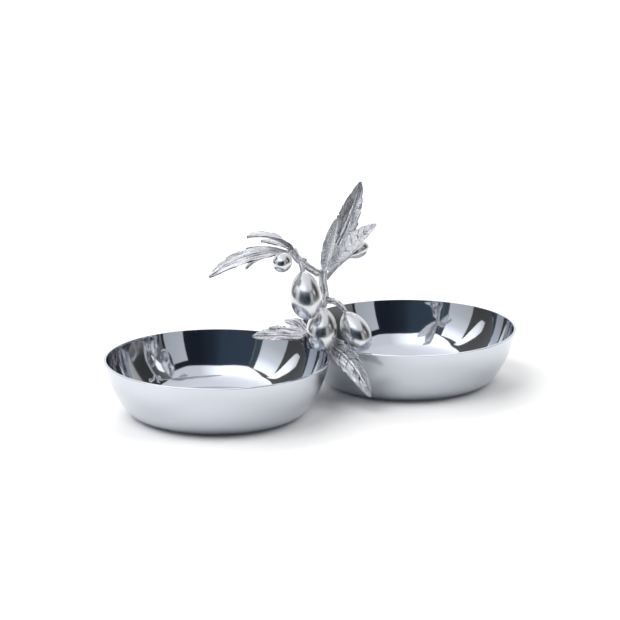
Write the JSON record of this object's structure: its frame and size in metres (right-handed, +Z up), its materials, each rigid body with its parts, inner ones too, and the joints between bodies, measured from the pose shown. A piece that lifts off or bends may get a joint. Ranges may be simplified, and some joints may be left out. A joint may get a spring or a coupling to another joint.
{
  "type": "olive dish",
  "caption": "Shallow polished metal bowls joined rim to rim, with a cast branch of leaves and olives rising between them as ornament and handle, for serving olives and other small food.",
  "frame": {"origin": "on the table, midway between the bowls and below the point where their rims come closest", "axes": "+X along the line of the bowls towards the right-hand bowl of the picture, +Y away from the viewer, +Z up"},
  "size_m": [0.2808, 0.14, 0.1337],
  "materials": {
    "bowl_steel": "mirror polished",
    "olive_metal": "mirror polished",
    "leaf_metal": "cast, veined and lightly oxidised",
    "bark_metal": "cast, grooved and lightly oxidised"
  },
  "bodies": {
    "root": {"left_bowl": "bowl_steel", "right_bowl": "bowl_steel", "rim_saddle": "bark_metal", "main_stem": "bark_metal", "left_twig": "bark_metal", "upper_olive": "olive_metal", "upper_olive_stalk": "bark_metal", "middle_olive": "olive_metal", "middle_olive_stalk": "bark_metal", "right_olive": "olive_metal", "right_olive_stalk": "bark_metal", "small_left_olive": "olive_metal", "small_left_olive_stalk": "bark_metal", "small_right_olive": "olive_metal", "small_right_olive_stalk": "bark_metal", "tall_leaf": "leaf_metal", "tall_side_leaf": "leaf_metal", "right_leaf": "leaf_metal", "upper_left_leaf": "leaf_metal", "upper_left_side_leaf": "leaf_metal", "lower_left_leaf": "leaf_metal", "lower_left_side_leaf": "leaf_metal", "rim_leaf": "leaf_metal", "rim_side_leaf": "leaf_metal", "front_leaf": "leaf_metal"}
  },
  "joints": []
}
